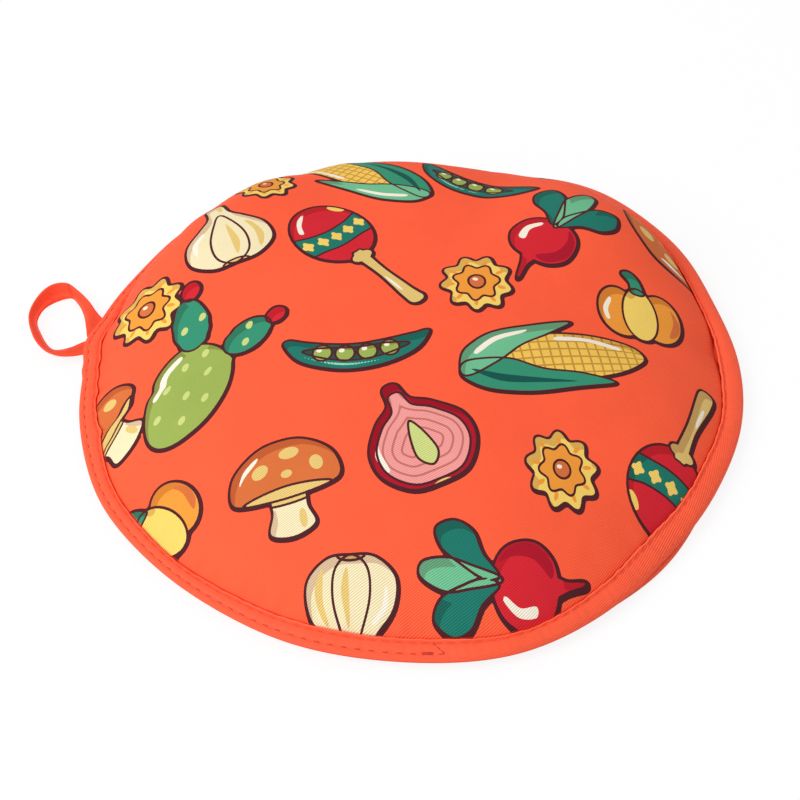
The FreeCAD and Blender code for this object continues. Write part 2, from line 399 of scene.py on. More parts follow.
def cubic(before, here, after, beyond, share):
    """Catmull and Rom's smooth cubic from here to the place after it, at a share of the way."""
    return 0.5 * (2 * here + (after - before) * share
                  + (2 * before - 5 * here + 4 * after - beyond) * share ** 2
                  + (3 * here - before - 3 * after + beyond) * share ** 3)


def smooth(*points):
    """A closed curve through the points, by that cubic between each pair."""
    neighbours = [np.roll(np.array(points, float), k, 0) for k in (1, 0, -1, -2)]
    share = (np.arange(OUTLINE_STEPS) / OUTLINE_STEPS)[:, None, None]
    return cubic(*neighbours, share).transpose(1, 0, 2).reshape(-1, 2)


def even(*half):
    """A closed curve that is even about x = 0, through its right half's points from below."""
    return smooth(*half, *((-x, y) for x, y in half[::-1] if x))


def oval(x, y, wide, tall, turn=0.0, petals=0, depth=0.0):
    """An ellipse about (x, y), turned, with its radius waved once for each petal."""
    a = np.linspace(0, 2 * np.pi, 12 + 10 * petals + 24, endpoint=False)
    swell = 1 + depth * np.cos(petals * a)
    c, s = np.cos(np.radians(turn)), np.sin(np.radians(turn))
    out, up = wide * swell * np.cos(a), tall * swell * np.sin(a)
    return np.stack([x + out * c - up * s, y + out * s + up * c], 1)


def in_a_bow(places, y, *size):
    """Ovals along a row that bows up towards both its ends."""
    return [oval(x, y + BOW * x * x, *size) for x in places]


def distance_to(outlines, x, y):
    """Signed distance to the nearest of some closed outlines, negative inside one.

    It is the least distance to a side, and the sides crossed on the way right tell the sign.
    """
    nearest = np.full(x.shape, np.inf)
    for start in outlines:
        side = np.roll(start, -1, 0) - start
        dx, dy = x[:, None] - start[:, 0], y[:, None] - start[:, 1]
        along = np.clip((dx * side[:, 0] + dy * side[:, 1]) / (side ** 2).sum(1), 0, 1)
        far = np.hypot(dx - along * side[:, 0], dy - along * side[:, 1]).min(1)
        spans = (dy < 0) != (dy < side[:, 1])
        crossed = spans & (dx < side[:, 0] * dy / np.where(side[:, 1] == 0, 1, side[:, 1]))
        nearest = np.minimum(nearest, np.where(crossed.sum(1) % 2, -far, far))
    return nearest


def mirrored(outline):
    """The same outline on the motif's other side."""
    return outline[::-1] * (-1, 1)


corn_cob = smooth((-38, -8), (-22, -14), (4, -15.5), (28, -11.5), (43, -4), (47, 2), (41, 9),
                  (22, 14.5), (-2, 16), (-24, 13), (-38, 7))
low_husk = smooth((-52, -5), (-40, -15), (-20, -20), (4, -19.5), (27, -17), (12, -11), (-8, -7),
                  (-24, 1), (-40, 3), (-50, 2))
high_husk = smooth((-52, 0), (-46, 10), (-30, 19), (-10, 22), (14, 24), (0, 16), (-14, 10),
                   (-27, 2), (-40, -4), (-50, -5))
bulb = even((0, -22), (12, -21), (22, -12), (21, 1), (12, 11), (6, 18), (4.5, 29), (0, 31))
cap = even((0, -10), (21, -8), (29, -3), (26, 10), (13, 20), (0, 22.5))
stem = even((0, -30), (12, -26), (9.5, -16), (9, -5), (0, 0))
root = even((0, -21), (11, -18), (18, -8), (16, 5), (7, 12))
root_tail = smooth((-4, -18), (-1, -26), (3, -36), (5, -35), (3.5, -26), (4, -18))
side_leaf = smooth((-2, 9), (-11, 17), (-21, 22), (-25, 31), (-20, 40), (-11, 37), (-5, 28),
                   (0, 17))
top_leaf = smooth((-1, 9), (-5, 22), (-8, 35), (-3, 47), (4, 46), (7, 34), (5, 22), (2, 9))
paddle = even((0, -38), (10, -33), (19, -18), (21, 0), (15, 15), (5, 21))
onion = even((0, -22), (14, -20), (24, -9), (24, 4), (15, 15), (6, 21), (3.5, 30))
pod = smooth((-40, 8), (-31, -4), (-16, -11), (0, -13.5), (17, -10.5), (31, -3), (40, 9),
             (37, 11), (27, 8), (14, 5), (0, 3.5), (-14, 5), (-27, 8), (-37, 11))
pod_mouth = even((0, -7.5), (15, -5), (29, 2), (15, 2.5), (0, 1))
squash_sides = [oval(-11, -1, 12, 16, 8), oval(11, -1, 12, 16, -8)]
squash_stem = smooth((-3, 13), (-4, 19), (-8, 24), (-3, 26), (2, 22), (4, 13))
handle = even((0, -48), (4, -46), (4.5, -38), (3, -18), (3.6, 2), (0, 4))
arms = [oval(-17, 30, 10, 16, 28), oval(16, 31, 9, 14, -28)]
buds = [oval(-26, 49, 5, 6.4, 28), oval(25, 47, 4.6, 6, -28)]
PEAS_AT = (-18, -6, 6, 18)
rattle_band = even((0, 12.5), (12, 13.5), (24, 16), (24, 30), (12, 27.5), (0, 26.5))

# a motif has a body, one or two outlined parts over it, a flat tint and a highlight
MOTIFS = {
    "corn": dict(
        body=([corn_cob, low_husk, high_husk], "corn"),
        part=([low_husk], "husk"),
        over=([high_husk], "husk_light"),
        tint=([smooth((-46, -2), (-30, -8), (-8, -13), (8, -16), (-12, -15), (-32, -12))],
              "dark_teal"),
        shine=[smooth((2, 11), (18, 10), (33, 5), (34, 7), (20, 12), (4, 13.5)),
               smooth((-40, 6), (-28, 13), (-14, 17), (-12, 19), (-28, 16), (-40, 9))],
        rows=(4.9, 5.2)),
    "garlic": dict(
        body=([bulb], "cream"),
        part=([even((0, -22), (8, -16), (9, -3), (4, 11), (0, 17))], "cream"),
        over=([oval(0, -22, 7, 2.6)], "tan"),
        tint=([smooth((14, -17), (18, -8), (15, 2), (11, 6), (14, -4)),
               smooth((2, -17), (5, -8), (3, 3), (1, 8), (1, -4)), oval(2.2, 24, 1.4, 4)], "tan"),
        shine=[smooth((-17, -9), (-15, 0), (-10, 6), (-12, 6.5), (-18, 0))]),
    "mushroom": dict(
        body=([cap, stem], "cream"),
        part=([cap], "clay"),
        over=([even((0, -13), (13, -11.5), (23, -6.5), (0, -3.5))], "tan"),
        tint=([oval(-12, 8, 4.6, 3.4, 30), oval(4, 14, 5.2, 3.2), oval(17, 5, 3.4, 4.2, 20),
              oval(1, 3, 3, 2.2), oval(6, -22, 2, 5)], "tan"),
        shine=[smooth((-24, 3), (-20, 11), (-12, 16.5), (-13, 14), (-20, 8))]),
    "radish": dict(
        body=([root, root_tail, side_leaf, mirrored(side_leaf), top_leaf], "red"),
        part=([side_leaf, mirrored(side_leaf)], "teal"),
        over=([top_leaf], "husk_light"),
        tint=([smooth((17, -7), (15, 4), (8, 10), (11, 2), (10, -8), (3, -17), (10, -17))],
              "deep_red"),
        shine=[smooth((-12, -9), (-13, 0), (-8, 7), (-6, 6), (-9.5, -1), (-8, -9))]),
    "cactus": dict(
        body=([paddle, *arms, *buds], "leaf"),
        part=(arms, "husk"),
        over=([*buds, oval(-9, 47.5, 4, 5, 0)], "red"),
        tint=([oval(x, y, 1.7, 2.6) for x, y in
               ((-8, -24), (6, -22), (-12, -8), (1, -9), (12, -8), (-8, 6), (5, 6), (-1, 16),
                (-19, 26), (-13, 36), (17, 27), (14, 37))], "lime"),
        shine=[smooth((-17, -14), (-18, 0), (-14, 11), (-12, 10), (-15, 0), (-14.5, -13))]),
    "onion": dict(
        body=([onion], "deep_red"),
        part=([smooth(*(onion[::OUTLINE_STEPS] * 0.86 + (0, -1)))], "pink"),
        over=([even((0, -13), (5, -8), (4, 1), (1, 9))], "lime"),
        tint=([oval(0, -22.5, 5, 2)], "tan"),
        shine=[smooth((-21, -7), (-22, 1), (-18, 7), (-19, 2), (-19, -7))],
        rings=4.3),
    "peas": dict(
        body=([pod, *in_a_bow(PEAS_AT, -2.5, 5.4, 5.4)], "teal"),
        part=([pod_mouth], "dark_teal"),
        over=(in_a_bow(PEAS_AT, -2.5, 5.2, 5.2), "leaf"),
        tint=([smooth((-30, -1), (-14, -8.5), (0, -10.5), (16, -8), (0, -9.5), (-15, -7))],
              "mint"),
        shine=[oval(x - 1.6, -0.6 + BOW * x * x, 1.6, 1.3) for x in PEAS_AT]),
    "marigold": dict(
        body=([oval(0, 0, 16.5, 16.5, 0, 9, 0.11)], "yellow"),
        part=([oval(0, 0, 10.5, 10.5, 20, 7, 0.13)], "squash"),
        over=([oval(0, 0, 4.2, 4.2)], "clay"),
        tint=([oval(12.9 * np.cos(a), 12.9 * np.sin(a), 2.3, 1.0, np.degrees(a))
               for a in np.radians(np.arange(0, 360, 40))], "squash"),
        shine=[oval(-1, 1.2, 1.4, 1.0)]),
    "squash": dict(
        body=([*squash_sides, oval(0, -1, 11, 17), squash_stem], "squash"),
        part=([oval(0, -1, 9.5, 17)], "yellow"),
        over=([squash_stem], "husk"),
        tint=([smooth((20, -8), (22, 0), (18, 8), (18.5, 0), (15, -11))], "clay"),
        shine=[smooth((-19, -6), (-20, 1), (-16, 8), (-15, 6), (-17.5, 0), (-17, -6))]),
    "maraca": dict(
        body=([oval(0, 24, 22, 25), handle, oval(0, -1, 7, 4)], "red"),
        part=([handle, oval(0, -1, 7, 4)], "tan"),
        over=([rattle_band], "teal"),
        tint=([*in_a_bow((-18, -9, 0, 9, 18), 20.3, 2.9, 3.4, 0, 4, 0.22),
               oval(15.5, 39, 2.2, 5, 38)], "yellow"),
        shine=[smooth((-15, 34), (-10, 42), (-3, 46), (-4, 44), (-10, 38), (-13, 32)),
               oval(-1.4, -28, 0.9, 8)]),
}
# motif, where its middle is on the cloth in millimetres, its turn in degrees and its size
UPPER_LAYOUT = [
    ("maraca", -30, 34, 52, 0.92), ("corn", 72, -10, 24, 0.92), ("cactus", -94, -44, -14, 0.9),
    ("onion", 16, -68, 38, 0.98), ("radish", 56, 62, -24, 0.88), ("mushroom", -40, -94, 20, 0.86),
    ("garlic", -98, 38, 30, 0.92), ("peas", -20, -26, 12, 0.85), ("marigold", 28, 24, 0, 0.95),
    ("squash", 106, 36, 15, 0.9), ("marigold", 82, -68, 20, 1.0), ("corn", -46, 106, 158, 0.85),
    ("peas", 14, 108, -22, 0.8), ("mushroom", 112, 96, 140, 0.85),
    ("marigold", -126, -2, 0, 0.95), ("radish", 66, -118, 98, 0.88),
    ("squash", -94, -112, 60, 0.85), ("maraca", 136, -36, 172, 0.9),
    ("marigold", -90, 84, 0, 0.85), ("mushroom", -137, -62, 66, 0.8),
    ("cactus", -130, 104, 120, 0.8), ("onion", 54, 150, 170, 0.9),
    ("garlic", -2, -142, 190, 0.88),
]
# lengths of the print's screens in millimetres, and of its kernel lines in shares of a row
FAR_AWAY = 30.0
MOTIF_MARGIN = 8.0
KEY_SHIFT = 0.55
SHADE_SHIFT = 3.2
COB_BOW = 62
KERNEL_LINE = 0.10
RING_LINE = 0.11


def print_screens(x, y, layout):
    """The print's screens at points of the cloth: signed distances, inks and kernel rows.

    Each point takes the screens of the motif whose edge is nearest to it.
    """
    far = {name: np.full(len(x), FAR_AWAY)
           for name in ("edge", "key", "shade", "part", "over", "tint", "shine")}
    inks = {name: np.zeros((len(x), 3)) for name in ("body", "part", "over", "tint")}
    rows = np.zeros((len(x), 3))
    for kind, mid_x, mid_y, turn, size in layout:
        motif = MOTIFS[kind]
        outlines = motif["body"][0]
        reach = np.hypot(*np.concatenate(outlines).T).max() * size + MOTIF_MARGIN
        near = np.flatnonzero(np.hypot(x - mid_x, y - mid_y) < reach)
        c, s = np.cos(np.radians(turn)), np.sin(np.radians(turn))
        own_x = ((x[near] - mid_x) * c + (y[near] - mid_y) * s) / size
        own_y = (-(x[near] - mid_x) * s + (y[near] - mid_y) * c) / size
        edge = distance_to(outlines, own_x, own_y) * size
        mine = edge < np.minimum(far["edge"][near], MOTIF_MARGIN)
        near, own_x, own_y, edge = near[mine], own_x[mine], own_y[mine], edge[mine]
        low_x, low_y = (c - s) / size, (-s - c) / size
        far["edge"][near] = edge
        rows[near] = 0
        for name, move, sign in (("key", KEY_SHIFT, 1), ("shade", SHADE_SHIFT, -1)):
            far[name][near] = sign * size * distance_to(
                outlines, own_x - move * low_x, own_y - move * low_y)
        inks["body"][near] = INKS[motif["body"][1]]
        for name in ("part", "over", "tint"):
            far[name][near] = distance_to(motif[name][0], own_x, own_y) * size
            inks[name][near] = INKS[motif[name][1]]
        far["shine"][near] = distance_to(motif["shine"], own_x, own_y) * size
        if "rows" in motif:
            pitch, row = motif["rows"]
            bow = np.sqrt(np.clip(1 - (own_x / COB_BOW) ** 2, 0.2, 1))
            bare = (far["part"][near] > 0) & (far["over"][near] > 0)
            rows[near] = np.stack([own_x / pitch, own_y / bow / row + 0.5, KERNEL_LINE * bare], 1)
        if "rings" in motif:
            rows[near] = np.stack([edge / size / motif["rings"], 0 * edge,
                                   RING_LINE * (far["part"][near] < 0)], 1)
    return far, inks, rows


INK_STRENGTH = 0.885


def linear(colour):
    """Screen colours of many points as linear light, thinned as inks, with full alpha."""
    light = INK_STRENGTH * ((colour + 0.055) / 1.055) ** 2.4
    return np.concatenate([light, np.ones((len(light), 1))], 1)


GROUND = (0.978, 0.366, 0.236)
# DEEP_RED is painted shade: in the cover's crease at the lip, in the tape's stitched groove and on
# the tape's underside
DEEP_RED = (0.82, 0.19, 0.10)
SHINE_INK = (0.94, 0.90, 0.83)
KERNEL_SHADE = (0.62, 0.34, 0.18)
MOTIF_SHADE = (0.80, 0.66, 0.66)
KEY_WIDTH = 0.6
KEY_SPREAD = 1.1
INNER_KEY = 0.55
TWILL_PITCH = 0.88


def printed_cloth(name):
    """Printed twill: flat inks on an orange ground, laid over the cloth screen by screen, with
    painted shade where the cloth dives under its binding's lip.

    Its ribs are the sine of the cloth's lengths in millimetres, bent by the mouth, raised and also
    painted lighter and darker as painted shade.
    """
    finish = Finish(name)

    def kept(what, output="Vector"):
        """What is stored under that name at the cloth's points."""
        return finish.node("Attribute", output=output, attribute_name=what)

    edge, key, shade = finish.split(kept("edge_screen"))
    part, over, tint = finish.split(kept("part_screen"))
    row_u, row_v, row_width = finish.split(kept("row_screen"))
    cloth_x, cloth_y, to_lip = finish.split(kept("cloth_screen"))
    body_ink, part_ink, over_ink, tint_ink = (
        kept(which + "_ink", "Color") for which in ("body", "part", "over", "tint"))
    mouth_side = cloth_x | 0.0
    run = cloth_x * 0.67 - cloth_y * 0.745 + mouth_side * (mouth_side * 0.0015 + cloth_y * 0.0005)
    ribs = (run * (2 * np.pi / TWILL_PITCH)).sine()
    place = finish.node("CombineXYZ", [cloth_x, cloth_y])
    cloud, fuzz = finish.noise(place, 0.035, 3.0, 0.6), finish.noise(place, 1.6, 2.0, 0.5)

    inside = edge < 0.0
    between = ((abs(row_u.fraction() - 0.5) < row_width)
               | (abs(row_v.fraction() - 0.5) < row_width))
    inner = (abs(part) < INNER_KEY) | (abs(over) < INNER_KEY)
    drawn = (((key < KEY_SPREAD) & (edge > 0.0)) | (abs(edge) < KEY_WIDTH) | (inside & inner))
    # painted shade: within about 0.8 mm of the binding's lip the cloth is mixed most of the way to
    # DEEP_RED
    crease_shade = ((to_lip * -1.6 + 1.3) | 0.0) & 1.0
    colour = ink(GROUND)
    for where, laid, blend in (
            (inside, body_ink, "MIX"), (inside & (part < 0.0), part_ink, "MIX"),
            ((inside & between) * 0.55, ink(KERNEL_SHADE), "MULTIPLY"),
            (inside & (over < 0.0), over_ink, "MIX"),
            ((inside & (shade < 0.0)) * 0.6, ink(MOTIF_SHADE), "MULTIPLY"),
            (inside & (tint < 0.0), tint_ink, "MIX"),
            (inside & (kept("shine_screen", "Fac") < 0.0), ink(SHINE_INK), "MIX"),
            (drawn, ink(KEY_BROWN), "MIX"), (crease_shade * 0.8, ink(DEEP_RED), "MIX")):
        colour = finish.mix(where, colour, laid, blend)
    # brightness: random mottling, and the twill's ribs painted lighter and darker as painted
    # shade, more towards the near side
    tone_and_light = (cloud - 0.5) * 0.16 + ribs * (cloth_y * -0.0008 + 0.12) + 0.99
    return finish.surface(finish.shaded(colour, tone_and_light), (fuzz - 0.5) * 0.12 + 0.66, 0.06,
                          (0.35, 0.00018, ribs * 0.5 + fuzz * 0.6))


def lay_print(piece, share, angle, layout):
    """Keeps the print's screens, the cloth's own lengths and how far its binding's lip is."""
    x, y = (share * RIM * np.cos(angle)).ravel(), (share * RIM * np.sin(angle)).ravel()
    to_lip = ((1 - share) * RIM).ravel()
    far, inks, rows = print_screens(x, y, layout)
    keep(piece, "edge_screen", np.stack([far["edge"], far["key"], far["shade"]], 1))
    keep(piece, "part_screen", np.stack([far["part"], far["over"], far["tint"]], 1))
    keep(piece, "shine_screen", far["shine"])
    keep(piece, "row_screen", rows)
    keep(piece, "cloth_screen", np.stack([x, y, to_lip], 1))
    for which, colour in inks.items():
        keep(piece, which + "_ink", linear(colour))


COVER_CELLS = 316
COVER_TUCK = 1.005
share, angle = round_cloth(COVER_CELLS, COVER_TUCK)
upper_cloth = printed_cloth("printed_twill")
upper_cover = sewn_piece("printed_upper_cover", crown(share, angle), upper_cloth)
lay_print(upper_cover, share, angle, UPPER_LAYOUT)
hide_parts("upper_outer_cover_rear", "upper_outer_cover_flap")
bends_at_mouth(upper_cover)

# ---- The printed lower cover ----
# The same printed twill, cut in a flat round. It lies on the table under the lower padding
# and turns up a little into its binding.
LOWER_CELLS = 220
LOWER_NOSE = 1.8
RIM_LAP = 3.3
LAPS_LESS = ((328.5, 12.0, 0.75),)
TURNS_FROM, TURNS_OVER = 0.86, 0.12
# heights of the lower panel's layers in their middle and at their edge, in millimetres
LOWER_COVER_AT = (0.05, 1.2)
LOWER_PADDING_UNDER, LOWER_PADDING_TOP = (0.6, 1.5), (5.35, 2.2)
LOWER_LINING_AT = (5.85, 2.5)


def lower_rim_radius(angle):
    """The lower binding's edge, which the upper one laps over but where it has drawn back."""
    return outline_radius(angle) - RIM_LAP * (1 - bumps(angle, LAPS_LESS))


def lower_nose(angle):
    """How high the lower binding's folded edge lies, just clear of the table."""
    return LOWER_NOSE + 0 * angle


def lower_sheet(share, angle, middle, edge):
    """A flat round at one height that turns to another over its last tenth."""
    reach = lower_rim_radius(angle) - TAPE_FACE
    z = middle + (edge - middle) * eased((share - TURNS_FROM) / TURNS_OVER)
    return np.stack([share * reach * np.cos(angle), share * reach * np.sin(angle), z], -1)


share, angle = round_cloth(LOWER_CELLS, COVER_TUCK)
lower_cover = sewn_piece("printed_lower_cover", lower_sheet(share, angle, *LOWER_COVER_AT),
                         upper_cloth, inside_out=True)
lay_print(lower_cover, share, angle,
          [(kind, -x, y, -turn, size) for kind, x, y, turn, size in UPPER_LAYOUT])
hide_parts("lower_outer_cover")
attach(lower_cover, "pouch")

# ---- Linings and padding ----
# Each panel has a layer of white needled batting and an orange taffeta lining inside the
# pouch. The layers are pressed thin where the binding holds them.
THREAD_PITCH = 0.0007
THREADS = 2 * np.pi / THREAD_PITCH
FELT_SHADE = (0.82, 0.82, 0.79)
FELT_WHITE = (0.97, 0.97, 0.95)


def plain_weave(name, colour):
    """Taffeta: two crossed sets of fine threads on Object coordinates, with soft mottling."""
    finish = Finish(name)
    place = finish.node("TexCoord", output="Object")
    x, y = finish.split(place, 2)
    threads = (x * THREADS).sine() * (y * THREADS).sine()
    cloud = finish.noise(place, 26.0, 3.0, 0.6)
    return finish.surface(
        finish.shaded(ink(colour), cloud * 0.14 + threads * 0.03 + 0.91),
        (cloud - 0.5) * 0.2 + 0.5, 0.3, (0.3, 0.00012, threads * 0.5 + cloud))


def needled_felt(name):
    """Batting: white fibres, as two sizes of noise in colour and height."""
    finish = Finish(name)
    place = finish.node("TexCoord", output="Object")
    lumps, hairs = (finish.noise(place, scale, 4.0, 0.7) for scale in (90.0, 900.0))
    return finish.surface(finish.mix(hairs, ink(FELT_SHADE), ink(FELT_WHITE)),
                          lumps * 0.2 + 0.78, 0.15, (0.6, 0.0006, lumps + hairs * 0.4), 0.3)


INNER_CELLS = 150
PADDING = 4.6
COVER_THICK = 0.9
COVER_AT_EDGE = 0.8
PADDING_AT_EDGE = 1.5
PADDING_REACH = 0.97
LINING_UNDER = 0.35
LINING_AT_EDGE = 2.3
HELD_AT = 2.7
HELD_MOST = 2.0
padded, angle = round_cloth(INNER_CELLS, PADDING_REACH)
lined = round_cloth(INNER_CELLS, COVER_TUCK)[0]


def under_crown(share, depth, depth_at_edge):
    """The crown's surface moved in along its own facing, less and straight down at the rim."""
    outer = crown(share, angle)
    facing = np.cross(np.gradient(outer, axis=0), np.gradient(outer, axis=1))
    facing = facing / np.linalg.norm(facing, axis=-1, keepdims=True)
    full = (1 - np.clip(share, 0, 1) ** 8)[..., None]
    inward = facing * full + np.array([0.0, 0.0, 1.0]) * (1 - full)
    return outer - inward * (depth_at_edge + (depth - depth_at_edge) * full)


def padding_piece(name, top, bottom, finish):
    """A closed pad: its top laid out beside its bottom and joined round the edge."""
    size = top.shape[0]
    points = np.concatenate([top.reshape(-1, 3), bottom.reshape(-1, 3)])
    faces = grid_faces(size, size)[0]
    label = np.arange(size * size).reshape(size, size)
    ring = np.concatenate([label[:-1, 0], label[-1, :-1], label[:0:-1, -1], label[0, :0:-1]])
    after = np.roll(ring, -1)
    wall = np.stack([ring, ring + size * size, after + size * size, after], 1)[:, ::-1]
    return meshed(name, points,
                  np.concatenate([faces, faces[:, ::-1] + size * size, wall]).tolist(), finish)


felt = needled_felt("white_batting")
taffeta = plain_weave("orange_taffeta", (0.96, 0.41, 0.28))
upper_padding = padding_piece("upper_padding", under_crown(padded, COVER_THICK, COVER_AT_EDGE),
                              under_crown(padded, PADDING, PADDING_AT_EDGE), felt)
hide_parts("upper_batting_rear", "upper_batting_flap")
bends_at_mouth(upper_padding)

# the binding holds the lining's edge up where the crown is dented
inside = under_crown(lined, PADDING + LINING_UNDER, LINING_AT_EDGE)
held_at = nose_height(angle) + LIP_RISE - HELD_AT
inside[..., 2] += np.clip(held_at - inside[..., 2], 0, HELD_MOST)
upper_lining = sewn_piece("upper_lining", inside, taffeta, inside_out=True)
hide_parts("upper_lining_rear", "upper_lining_flap")
bends_at_mouth(upper_lining)

lower_padding = padding_piece("lower_padding", lower_sheet(padded, angle, *LOWER_PADDING_TOP),
                              lower_sheet(padded, angle, *LOWER_PADDING_UNDER), felt)
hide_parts("lower_batting")
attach(lower_padding, "pouch")

lower_lining = sewn_piece("lower_lining_cloth", lower_sheet(lined, angle, *LOWER_LINING_AT),
                          taffeta)
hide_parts("lower_lining")
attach(lower_lining, "pouch")

# ---- The bindings ----
# Each panel's edge is wrapped in a 23 mm satin tape folded over it, so a 10 mm face shows.
# A row of stitching near the tape's inner lip holds it, and the tape puffs on both sides.
TAPE_HALF = 1.75
TAPE_PLY = 0.6
UPPER_TILT = np.radians(13.0)
TOPSTITCH_AT = 8.3
TOPSTITCH_PITCH = 5.3
SEAM_AT = 3.1
SEAM_PITCH = 5.6
TOPSTITCHES = int(2 * np.pi * (RIM - TOPSTITCH_AT) / TOPSTITCH_PITCH)
SEAM_STITCHES = int(2 * np.pi * (RIM - SEAM_AT) / SEAM_PITCH)
RIM_STEPS = 1240
# places along the tape in metres from the mouth's middle: where its painted rib shade and painted
# darker band are strongest, near the sewn end of the mouth, and where its lip hides on the far
# side
RIB_SHADE_AT = 0.86
LIP_HIDDEN_AT = 0.25
RIB_PITCH = 0.0009
RIB_SLANT = 1250.0


def on_tape(rim, nose, tilt, angle, inward, up):
    """A point of a folded tape, inward from its fold and up from its middle.

    The section leans by the tilt about the middle of its rounded fold, and stands at the rim.
    """
    along, over = inward - TAPE_HALF, up
    back = TAPE_HALF + along * np.cos(tilt) - over * np.sin(tilt)
    height = nose + along * np.sin(tilt) + over * np.cos(tilt)
    return np.stack([(rim - back) * np.cos(angle), (rim - back) * np.sin(angle), height], -1)


def sewn(angle):
    """1 where the two panels are sewn together and 0 along the mouth."""
    return 1 - free_mouth(angle)


def face_relief(angle, inward):
    """How far the tape's face stands off flat: puffs less its two sunken rows of stitches.

    The puff is half a sine across the face, each row a narrow dip that is deeper at a needle
    hole, and the lip stands up in small gathers.
    """
    puff = (0.75 - 0.35 * sewn(angle)) * np.sin(np.pi * np.clip((inward - 0.9) / 7.6, 0, 1))
    row = 0.6 * (0.7 + 0.3 * np.cos(TOPSTITCHES * angle)) * ridge(inward, TOPSTITCH_AT, 0.5)
    seam = 0.72 * (0.72 + 0.28 * np.cos(SEAM_STITCHES * angle)) * sewn(angle) * ridge(
        inward, SEAM_AT, 0.8)
    lip = (0.5 + 0.35 * gathers(angle, (53, 89, 131, 173), 0.9)) * ridge(inward, 9.6, 0.55)
    creases = 0.16 * gathers(angle, (97, 151, 211, 263), 2.3) * np.sin(
        np.pi * np.clip(inward / 9.5, 0, 1))
    return puff - row - seam + lip + creases


def folded_tape(name, rim_of, nose_of, tilt, laid, finish):
    """A tape folded round a rim: a thin C-shaped section carried once round the circle.

    Its face takes the relief. A tilted tape's underside is pressed level where it is sewn.
    """
    angle = np.linspace(0, 2 * np.pi, RIM_STEPS, endpoint=False)[:, None]
    fold = np.radians([-60, -30, 0, 30, 60])
    upper = np.array([1.75, 2.2, 2.6, 3.0, 3.4, 3.9, 4.7, 5.6, 6.5, 7.2, 7.7, 8.0, 8.3, 8.6, 9.0,
                      9.4, 9.75])
    lower = np.array([9.7, 9.2, 8.3, 7.0, 5.0, 3.0, 1.75])
    lip_in = np.array([9.95, 9.8, 6.0, 1.9])
    lip_up = TAPE_HALF - np.array([0.3, TAPE_PLY, TAPE_PLY, TAPE_PLY])
    inward = np.concatenate([upper, lip_in, [1.2], lip_in[::-1], lower,
                             TAPE_HALF * (1 - np.cos(fold))])
    up = np.concatenate([0 * upper + TAPE_HALF, lip_up, [0.0], -lip_up[::-1],
                         0 * lower - TAPE_HALF, TAPE_HALF * np.sin(fold)])
    parts = [len(upper), 1, 2 * len(lip_in), len(lower), len(fold)]
    top, bottom = np.repeat([1.0, 0.6, 0, 0, 0], parts), np.repeat([0, 0, 0, 1, 0], parts)
    relief = face_relief(angle, inward[None, :])
    if tilt:
        pressed = (inward - TAPE_HALF) * np.tan(tilt) * np.clip(
            (TOPSTITCH_AT - inward) / 2.5, 0, 1)
        under = -sewn(angle) * pressed * bottom
    else:
        top, under = 0.25 * top, -0.35 * np.minimum(relief, 0) * bottom
    sway = 0.3 * gathers(angle, (41, 67, 109, 157), 3.1) * ridge(inward, 9.7, 1.2)
    grid = on_tape(rim_of(angle), nose_of(angle), tilt, angle, laid(angle, inward + sway),
                   up + relief * top + under)
    section = np.concatenate([[0.0], np.cumsum(np.hypot(np.diff(inward), np.diff(up))), [60.0]])
    return sewn_piece(name, grid, finish, joined=(True, True), inside_out=True,
                      lengths=(np.linspace(0, 2 * np.pi * RIM, RIM_STEPS + 1), section))


def satin_tape(name, colour):
    """Polyester tape: fine lengthwise lines on the piece's UV map, and faint cross threads.

    Painted shade makes it redder in its row's groove and on its underside, and a painted highlight
    makes it paler on its lip. Slanting ribs are painted lighter and darker near the sewn end of
    the mouth, where it is painted darker too, and creases kept on a piece are painted lighter or
    darker.
    """
    finish = Finish(name)
    place = finish.node("UVMap", uv_map="cloth")
    along, across = finish.split(place, 2)
    face = across * (1 / MM)
    lines = finish.noise(finish.node("CombineXYZ", [along * 60.0, across * 1500.0]),
                         1.0, 3.0, 0.65)
    cross = (along * THREADS).sine()
    cloud = finish.noise(place, 70.0, 3.0, 0.6)
    # painted shade: the stitched groove is mixed towards DEEP_RED, more where the thread dives in
    # at a needle hole
    groove = (abs(face - (TOPSTITCH_AT - TAPE_HALF)) * -2.0 + 1.0) | 0.0
    # painted highlight along the lip's crest, faded out where the lip hides on the far side
    lip_highlight = (abs(face - (TAPE_FACE + 0.2 - TAPE_HALF)) * -2.2 + 1.0) | 0.0
    ribs = (along * -RIB_SLANT + across * (2 * np.pi / RIB_PITCH)).sine()
    # creases kept on a piece are its painted highlight and shade, added straight into the
    # brightness
    pressed = finish.node("Attribute", output="Fac", attribute_name="creases")
    # painted shade: near the sewn end of the mouth the ribs are painted lighter and darker and the
    # tape darker
    mouth_side = (abs(along - RIB_SHADE_AT) * -8.0 + 1.0) | 0.0
    lip_highlight_share = ((abs(along - LIP_HIDDEN_AT) * 8.0 - 0.6) | 0.0) & 1.0
    # painted shade on the tape's underside, past its fold
    underside_shade = ((across * -1200.0 + 47.2) | 0.0) & (face - 20.0 | 0.0) & 1.0
    stitch = (along * (TOPSTITCHES / (2 * np.pi * RIM * MM)) + 0.5).fraction()
    hole = abs(stitch - 0.5) > 0.38
    # the tape's brightness: random mottling, lines and threads, plus the painted rib shade, lip
    # highlight and crease highlight and shade
    tone_and_light = (cloud * 0.16 + lines * 0.14 + cross * 0.012 + ribs * (mouth_side * 0.24 + 0.02)
            - mouth_side * 0.1 + lip_highlight * lip_highlight_share * 0.5 + pressed + 0.85)
    shown = finish.mix(groove * (hole * 0.6 + 0.35), finish.shaded(ink(colour), tone_and_light),
                       ink(DEEP_RED))
    return finish.surface(finish.mix(underside_shade * 0.55, shown, ink(DEEP_RED)),
                          lines * 0.2 + 0.45, 0.12,
                          (0.45, 0.00022, lines * 1.2 + cross * 0.2 + cloud))


